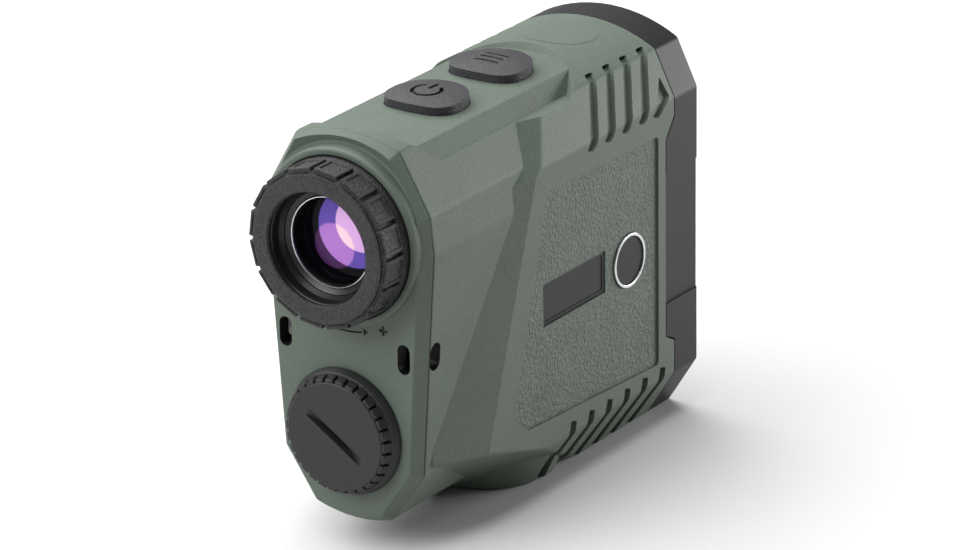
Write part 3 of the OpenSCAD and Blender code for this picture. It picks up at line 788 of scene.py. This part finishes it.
def makeBezel():
    ring = frontForm("frontBezel", 70, bezel["front"])
    # only the front face and the corners that run forward are rounded
    soften(ring, 0.6, angle=15)
    trim(ring, at(0, bezel["rear"], 40), (0, -1, 0))
    for z0, z1, slope in ((-5, 18.55, (0, 1.7, 3.1)), (60.25, 90, (0, 4.2, -3.1))):
        step = block("cut", at(-30, 70, z0), at(30, housing["length"] + bezel["seam"], z1))
        edge = housing["sideLow"] + bezel["seam"] if slope[2] > 0 else housing["sideHigh"] - bezel["seam"]
        trim(step, at(0, housing["length"] + bezel["seam"], edge), slope)
        combine(ring, step)
    for side in (1, -1):
        inner, outer = side * (housing["half"] - bezel["hollow"]), side * housing["clear"]
        combine(ring, block("cut", at(min(inner, outer), 60, 25.6), at(max(inner, outer), 100, 52.9)))
    face = frontForm("cut", bezel["front"] - bezel["sink"], 92, bezel["wall"])
    soften(face, 0.5, angle=15)
    combine(ring, face)
    for axis, radius in bezel["eyes"].items():
        combine(ring, rod("cut", radius, at(0, 70, axisZ[axis]), at(0, 95, axisZ[axis]), sides=128))
    for axis, radius in bezel["eyes"].items():
        lip = turned("lip", at(0, 0, axisZ[axis]), [
            (radius + 0.05, 84), (radius + 0.05, 88.3), (radius + 0.4, 88.75), (radius + 0.9, 88.75),
            (radius + 1.3, 88.0), (radius + 1.3, 84)], 128)
        combine(ring, lip, "UNION")
    return ring


frontRing = makeBezel()
soften(frontRing, 0.12, segments=1, angle=40)
shade(frontRing)
give(frontRing, bezelPlastic)
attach(frontRing, "root")
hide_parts("front_bezel")
print("front bezel", len(frontRing.data.polygons))

eyecup = {
    "blocks": 16, "blockLow": (14.2, -10.1, -2.62), "blockHigh": (15.55, -4.7, 2.62),
    "profile": [(12.05, -2.65), (12.05, -9.4), (11.05, -9.6), (10.95, -10.4), (11.2, -10.7), (14.0, -10.7),
                (14.4, -10.5), (14.55, -10.1), (14.95, -9.9), (14.95, -5.0), (15.4, -4.5), (15.7, -4.1),
                (15.7, -2.9), (15.5, -2.65)],
}


def sinkFace(piece, test, frame, slope, depth):
    # a framed, sunk field in the faces that pass the test
    selectFaces(piece, test)
    bpy.ops.object.mode_set(mode="EDIT")
    bpy.ops.mesh.inset(thickness=frame * mm, depth=0)
    bpy.ops.mesh.inset(thickness=slope * mm, depth=-depth * mm)
    bpy.ops.object.mode_set(mode="OBJECT")


def makeEyecup():
    eye = at(0, 0, axisZ["eyepiece"])
    body = turned("eyecupRing", eye, eyecup["profile"], 128)
    # one block with sunk fields outside and behind, then copies round the ring
    grip = block("gripBlock", eye + Vector(eyecup["blockLow"]) * mm, eye + Vector(eyecup["blockHigh"]) * mm)
    soften(grip, 0.3, segments=2, angle=30)
    sinkFace(grip, lambda centre, normal: normal.x > 0.95, 0.42, 0.12, 0.22)
    sinkFace(grip, lambda centre, normal: normal.y < -0.95, 0.42, 0.12, 0.22)
    step = 2 * math.pi / eyecup["blocks"]
    grips = [copyTurned(grip, (i + 0.35) * step, eye) for i in range(eyecup["blocks"])]
    bpy.data.objects.remove(grip)
    return join("eyecupRing", [body] + grips)


eyecupRing = makeEyecup()
shade(eyecupRing, 38)
give(eyecupRing, rubberSkin)
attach(eyecupRing, "eyecup")
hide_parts("eyecup")
print("eyecup", len(eyecupRing.data.polygons))

# profiles of radius and station along the eyepiece axis
eyepiece = {
    "cell": [(8.6, 8.9), (8.6, -4.4), (8.5, -4.6), (8.5, -5.3), (8.55, -5.9), (8.67, -6.15), (8.84, -6.2),
             (8.95, -6.05), (9.1, -5.95), (9.9, -6.3), (10.05, -6.4), (10.15, -6.3), (10.15, 8.9)],
    "barrel": [(10.2, 16), (10.2, -6.5), (10.8, -7.3), (10.95, -7.6), (10.95, -9.25), (11.1, -9.45),
               (11.9, -9.45), (12.0, -9.3), (12.0, 0), (13.2, 0.1), (13.2, 3), (11.4, 3), (11.4, 16)],
    "lensRadius": 8.55, "lensEdge": -4.35, "lensBulge": 0.8,
}


def onLensRing(x, y, z, normal):
    return y < -5.2 and 8.56 < math.hypot(x, z - axisZ["eyepiece"]) < 8.9


lensCell = turned("lensCellRings", at(0, 0, axisZ["eyepiece"]), eyepiece["cell"], 128)
shade(lensCell, 30)
give(lensCell, anodised, polishedMetal)
paintFaces(lensCell, 1, onLensRing)  # the lens is held by a narrow polished ring
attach(lensCell, "lens_cell")
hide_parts("lens_cell")

eyeTube = turned("eyepieceBarrel", at(0, 0, axisZ["eyepiece"]), eyepiece["barrel"], 128)
shade(eyeTube, 30)
give(eyeTube, anodised)
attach(eyeTube, "root")
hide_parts("eyepiece_tube")


def makeEyeLens():
    # a thin glass, its rear face drawn as a bulging arc
    radius, edge, bulge = eyepiece["lensRadius"], eyepiece["lensEdge"], eyepiece["lensBulge"]
    arc = [(radius * i / 12, edge - bulge * (1 - (i / 12) ** 2)) for i in range(13)]
    profile = arc + [(radius, -2.5), (0, -2.0)]
    return turned("eyeLensGlass", at(0, 0, axisZ["eyepiece"]), profile, 128, closed=False)


eyeGlass = makeEyeLens()
shade(eyeGlass, 30)
give(eyeGlass, paintedReflectionGlass)
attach(eyeGlass, "lens_cell")
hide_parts("eye_lens")
print("eyepiece ready")

cap = {
    "face": -6.55, "slotTurn": 33, "slotWidth": 1.7, "coinRadius": 14, "slotDepth": 2, "pitch": 1.5,
    "ribs": 30, "ribLow": (10.2, -6.35, -0.92), "ribHigh": (11.9, -4.3, 0.92), "ribTaper": 0.65,
    "profile": [(0, -6.55), (10.5, -6.55), (10.7, -6.4), (10.75, -6.1), (10.75, -4.7), (11.75, -4.6),
                (12.1, -4.3), (12.5, -3.4), (12.6, -3.1), (12.6, -2.9), (12.5, -2.75), (9.45, -2.75),
                (9.45, -1.6), (8.6, -1.6), (8.6, -0.4), (9.45, -0.4), (9.45, 0.2), (8.75, 0.5), (8.75, 4.8),
                (8.4, 5.0), (7.2, 5.0), (7.2, 1.5), (0, 1.5)],
}


def makeCap():
    middle = at(0, 0, axisZ["cap"])
    body = turned("batteryCapKnob", middle, cap["profile"], 128, closed=False)
    # the slot is the mark of a large coin, sunk edge first
    halfSlot = Vector((0, 0, cap["slotWidth"] / 2)) * mm
    coin = rod("cut", cap["coinRadius"], -halfSlot, halfSlot, 192)
    sunk = Vector((0, (cap["face"] + cap["slotDepth"] - cap["coinRadius"]) * mm, 0))
    turn = Matrix.Rotation(math.radians(cap["slotTurn"]), 4, "Y")
    coin.matrix_world = Matrix.Translation(middle) @ turn @ Matrix.Translation(sunk)
    settle(coin)
    combine(body, coin)
    rib = block("rib", middle + Vector(cap["ribLow"]) * mm, middle + Vector(cap["ribHigh"]) * mm)
    # the outer edge at the face is drawn in, so the knurl tapers towards it
    selectEdges(rib, lambda a, b: min(a.x, b.x) > 11 * mm and max(a.y, b.y) < at(0, -6, 0).y)
    bpy.ops.object.mode_set(mode="EDIT")
    bpy.ops.transform.translate(value=(-cap["ribTaper"] * mm, 0, 0))
    bpy.ops.object.mode_set(mode="OBJECT")
    soften(rib, 0.22, segments=3, angle=30)
    step = 2 * math.pi / cap["ribs"]
    ribs = [copyTurned(rib, i * step, middle) for i in range(cap["ribs"])]
    bpy.data.objects.remove(rib)
    return body, ribs


def threadTurns(name, middle, start, inner, outer, pitch, turns):
    # one ridge profile carried round the Y axis, closed at both ends
    profile = [(inner, start), (outer, start + pitch * 0.35), (outer, start + pitch * 0.45),
               (inner, start + pitch * 0.8)]
    points = [Vector((r * mm, y * mm, 0)) for r, y in profile]
    ridge = drawn(name, points + [points[0]], None)
    steps = int(72 * turns)
    applyModifier(ridge, "SCREW", axis="Y", angle=2 * math.pi * turns, screw_offset=pitch * turns * mm,
                  steps=steps, render_steps=steps, use_merge_vertices=False, use_normal_calculate=True)
    editAll(ridge, (bpy.ops.mesh.fill_holes, dict(sides=8)),
            (bpy.ops.mesh.normals_make_consistent, dict(inside=False)))
    ridge.location = middle
    return settle(ridge)


capKnob, capRibs = makeCap()
capThread = threadTurns("thread", at(0, 0, axisZ["cap"]), 0.4, 8.7, 9.4, cap["pitch"], 2.4)
join("batteryCapKnob", [capKnob] + capRibs + [capThread])
shade(capKnob, 35)
give(capKnob, capPlastic)
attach(capKnob, "battery_cap")
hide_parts("battery_cap")
print("battery cap", len(capKnob.data.polygons))


def makeButton(name, y, signs):
    rubber = buttonBlank(name, y, button["base"], button["top"])
    # the top follows a large ball, which gives it its crown
    bpy.ops.mesh.primitive_uv_sphere_add(segments=192, ring_count=128, radius=button["crown"] * mm,
                                         location=at(0, y + 7.3, button["crownTop"] - button["crown"]))
    combine(rubber, settle(bpy.context.object), "INTERSECT")
    soften(rubber, 1.05, segments=5, angle=45)
    for sign in signs:
        combine(rubber, sign)
    return rubber


def powerSign(y):
    # a broken ring with an upright bar in its gap
    steps, outer, inner = 26, 3.2, 2.4
    angles = [math.radians(-235 + 290 * i / steps) for i in range(steps + 1)]
    ring = [(outer, a) for a in angles] + [(inner, a) for a in reversed(angles)]
    points = [at(r * math.cos(a), y + 6.6 + r * math.sin(a), button["signFloor"]) for r, a in ring]
    bar = block("cut", at(-0.42, y + 7.2, button["signFloor"]), at(0.42, y + 10.5, button["top"]))
    return [drawn("cut", points, Vector((0, 0, 4 * mm))), bar]


def menuSign(y):
    # three short bars
    bars = []
    for row in (5.1, 7, 8.9):
        bars.append(block("cut", at(-2.6, y + row - 0.3, button["signFloor"]),
                          at(2.6, y + row + 0.3, button["top"])))
    return bars


def onSignFloor(x, y, z, normal):
    return abs(z - button["signFloor"]) < 0.2 and normal.z > 0.999


for name, node, y, sign in (("powerButton", "power_button", power["y"], powerSign),
                            ("modeButton", "mode_button", mode["y"], menuSign)):
    rubber = makeButton(name, y, sign(y))
    shade(rubber, 40)
    give(rubber, buttonSkin, sealRubberAndPaintedShade)
    paintFaces(rubber, 1, onSignFloor)  # the floor of the sign is painted smooth black, as painted shade in the engraving
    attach(rubber, node)
    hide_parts(node)
print("buttons ready")


def makePlate(name, side):
    gap = plate["gap"]
    low = at(plate["back"], plate["y"] + gap, plate["z"] + gap)
    high = at(plate["face"], plate["y"] + plate["length"] - gap, plate["z"] + plate["height"] - gap)
    label = block(name, low, high)
    soften(label, 0.18, segments=2, angle=30)
    sinkFace(label, lambda centre, normal: normal.x > 0.95, 0.45, 0.12, 0.18)
    return mirrorPiece(label) if side < 0 else label


def mirrorPiece(piece):
    editAll(piece, (bpy.ops.transform.resize, dict(value=(-1, 1, 1), center_override=(0, 0, 0))),
            (bpy.ops.mesh.normals_make_consistent, dict(inside=False)))
    return piece


def makeBadge(name, side, outer, inner, face):
    # a flat rim, or with no inner radius a disc
    low, high = at(badge["back"], badge["y"], badge["z"]), at(face, badge["y"], badge["z"])
    ring = rod(name, outer, low, high, sides=96)
    if inner:
        through = Vector((mm, 0, 0))
        combine(ring, rod("cut", inner, low - through, high + through, sides=96))
    soften(ring, 0.12, segments=3, angle=40)
    return mirrorPiece(ring) if side < 0 else ring


for side, tail in ((1, "right"), (-1, "left")):
    label = makePlate("labelPlate_" + tail, side)
    rim = makeBadge("badgeRing_" + tail, side, badge["rim"], badge["rimInside"], badge["rimFace"])
    disc = makeBadge("badgeDisc_" + tail, side, badge["disc"], 0, badge["discFace"])
    made = [(label, "nameplate_" + tail, labelPlastic, "black_plastic"),
            (rim, "badge_rim_" + tail, polishedMetal, "bright_metal"),
            (disc, "badge_disc_" + tail, labelPlastic, "black_plastic")]
    for piece, node, material, slot in made:
        shade(piece, 35)
        give(piece, material)
        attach(piece, "root")
        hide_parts(node)
print("plates and badges ready")

for name, node, axis, radius in (("objectiveRetainer", "objective_ring", "objective", 11.98),
                                 ("emitterRetainer", "emitter_ring", "emitter", 7.98)):
    retainer = turned(name, at(0, 0, axisZ[axis]), [
        (radius, 85.45), (radius - 0.95, 85.45), (radius - 1.0, 85.7), (radius - 0.55, 86.5),
        (radius - 0.2, 86.7), (radius, 86.6)], 128)
    shade(retainer, 30)
    give(retainer, anodised)
    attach(retainer, "root")
    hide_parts(node)
print("lens rings ready")

# the pieces that keep their CAD shape get their finish here
finishes = {
    "objective_lens": frontCoating, "emitter_lens": frontCoating, "field_lens": frontCoating,
    "objective_barrel": anodised, "emitter_barrel": anodised, "tripod_insert": turnedBrass,
    "laser_diode": turnedBrass, "battery_spring": nickelSteel, "cap_contact": nickelSteel,
    "chassis_screws": nickelSteel, "cover_screws": nickelSteel, "button_switches": nickelSteel,
    "battery": cellJacket, "battery_tube": innerPlastic, "optical_chassis": innerPlastic,
    "board_chips": innerPlastic, "display_panel": frontCoating, "prism_block": prismGlass,
    "main_board": circuitBoard, "detector_board": circuitBoard, "switch_board": circuitBoard,
    "button_gasket": sealRubberAndPaintedShade, "tube_oring": sealRubberAndPaintedShade, "cap_oring": sealRubberAndPaintedShade,
}
for node, material in finishes.items():
    give(frame["nodes"][node], material)
print("inner pieces finished")

floorReach = 1500
floor = block("floor", at(-floorReach, -floorReach, -2), at(floorReach, floorReach, -0.01))
give(floor, newMaterial("paleSweep", "#cdcdcd", 0.7)[0])  # matt studio paper
